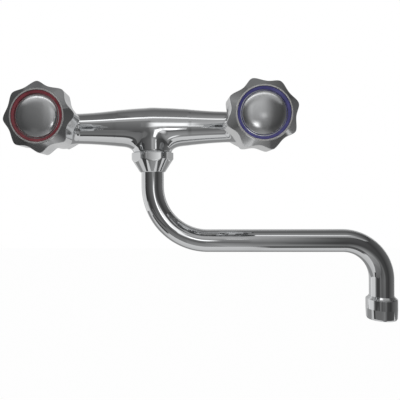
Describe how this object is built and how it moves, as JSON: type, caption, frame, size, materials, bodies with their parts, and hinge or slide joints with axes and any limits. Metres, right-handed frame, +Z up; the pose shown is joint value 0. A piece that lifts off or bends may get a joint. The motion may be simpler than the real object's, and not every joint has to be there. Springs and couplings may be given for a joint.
{
  "type": "wall-mounted mixer tap",
  "caption": "Chrome wall-mounted kitchen mixer tap with octagonal hot and cold knobs on a cast cross body and a swinging S-shaped tube spout with aerator.",
  "frame": {"origin": "midway between the two inlets, in the plane of the union nuts' mouths", "axes": "+X along the cross body towards the cold inlet, +Y towards the wall, +Z up"},
  "size_m": [0.291, 0.1069, 0.177],
  "materials": {
    "chrome_body": "polished chrome plating on cast brass",
    "chrome_nut": "polished chrome plating on turned brass",
    "chrome_tube": "polished chrome plating on drawn brass tube",
    "chrome_knob": "polished chrome plating on a die casting",
    "chrome_cap": "polished chrome plating on a pressed cap",
    "chrome_aerator": "polished chrome plating on a turned sleeve",
    "brass": "turned brass, bare",
    "steel": "bright stainless steel",
    "rubber": "black nitrile rubber",
    "white_plastic": "natural white acetal",
    "red_ring": "glossy red plastic",
    "blue_ring": "glossy blue plastic"
  },
  "bodies": {
    "frame_body": {"body": "chrome_body", "outlet_nut": "chrome_nut", "friction_ring": "white_plastic", "hot_inlet_tail": "chrome_body", "hot_inlet_washer": "rubber", "hot_bonnet": "chrome_nut", "hot_bonnet_gasket": "rubber", "cold_inlet_tail": "chrome_body", "cold_inlet_washer": "rubber", "cold_bonnet": "chrome_nut", "cold_bonnet_gasket": "rubber"},
    "hot_handle": {"hot_knob": "chrome_knob", "hot_index_ring": "red_ring", "hot_knob_cap": "chrome_cap", "hot_knob_screw": "steel", "hot_spindle": "brass", "hot_spindle_oring": "rubber", "hot_spindle_clip": "steel"},
    "hot_valve": {"hot_plunger": "brass", "hot_seat_washer": "rubber", "hot_washer_screw": "brass"},
    "hot_union": {"hot_union_nut": "chrome_nut"},
    "cold_handle": {"cold_knob": "chrome_knob", "cold_index_ring": "blue_ring", "cold_knob_cap": "chrome_cap", "cold_knob_screw": "steel", "cold_spindle": "brass", "cold_spindle_oring": "rubber", "cold_spindle_clip": "steel"},
    "cold_valve": {"cold_plunger": "brass", "cold_seat_washer": "rubber", "cold_washer_screw": "brass"},
    "cold_union": {"cold_union_nut": "chrome_nut"},
    "spout": {"spout_tube": "chrome_tube", "spout_collar": "brass", "spout_orings": "rubber", "tip_ferrule": "chrome_tube", "aerator_shell": "chrome_aerator", "aerator_washer": "rubber", "aerator_insert": "white_plastic", "aerator_screen": "steel"}
  },
  "joints": [
    {"name": "hot_knob_turn", "type": "hinge", "parent": "frame_body", "child": "hot_handle", "pos_m": [-0.075, -0.1, 0], "axis": [0, -1, 0], "range_deg": [0, 720]},
    {"name": "hot_valve_lift", "type": "slide", "parent": "frame_body", "child": "hot_valve", "axis": [0, -1, 0], "range_m": [0, 0.004]},
    {"name": "cold_knob_turn", "type": "hinge", "parent": "frame_body", "child": "cold_handle", "pos_m": [0.075, -0.1, 0], "axis": [0, -1, 0], "range_deg": [0, 720]},
    {"name": "cold_valve_lift", "type": "slide", "parent": "frame_body", "child": "cold_valve", "axis": [0, -1, 0], "range_m": [0, 0.004]},
    {"name": "hot_union_spin", "type": "hinge", "parent": "frame_body", "child": "hot_union", "pos_m": [-0.075, -0.008, 0], "axis": [0, 1, 0], "continuous": true},
    {"name": "cold_union_spin", "type": "hinge", "parent": "frame_body", "child": "cold_union", "pos_m": [0.075, -0.008, 0], "axis": [0, 1, 0], "continuous": true},
    {"name": "spout_swing", "type": "hinge", "parent": "frame_body", "child": "spout", "pos_m": [0, -0.034, -0.02], "axis": [0, 0, 1], "range_deg": [-190, 10]}
  ],
  "couplings": [
    {"joint": "hot_valve_lift", "follows": "hot_knob_turn", "m_per_rad": 0.00031831},
    {"joint": "cold_valve_lift", "follows": "cold_knob_turn", "m_per_rad": 0.00031831}
  ]
}
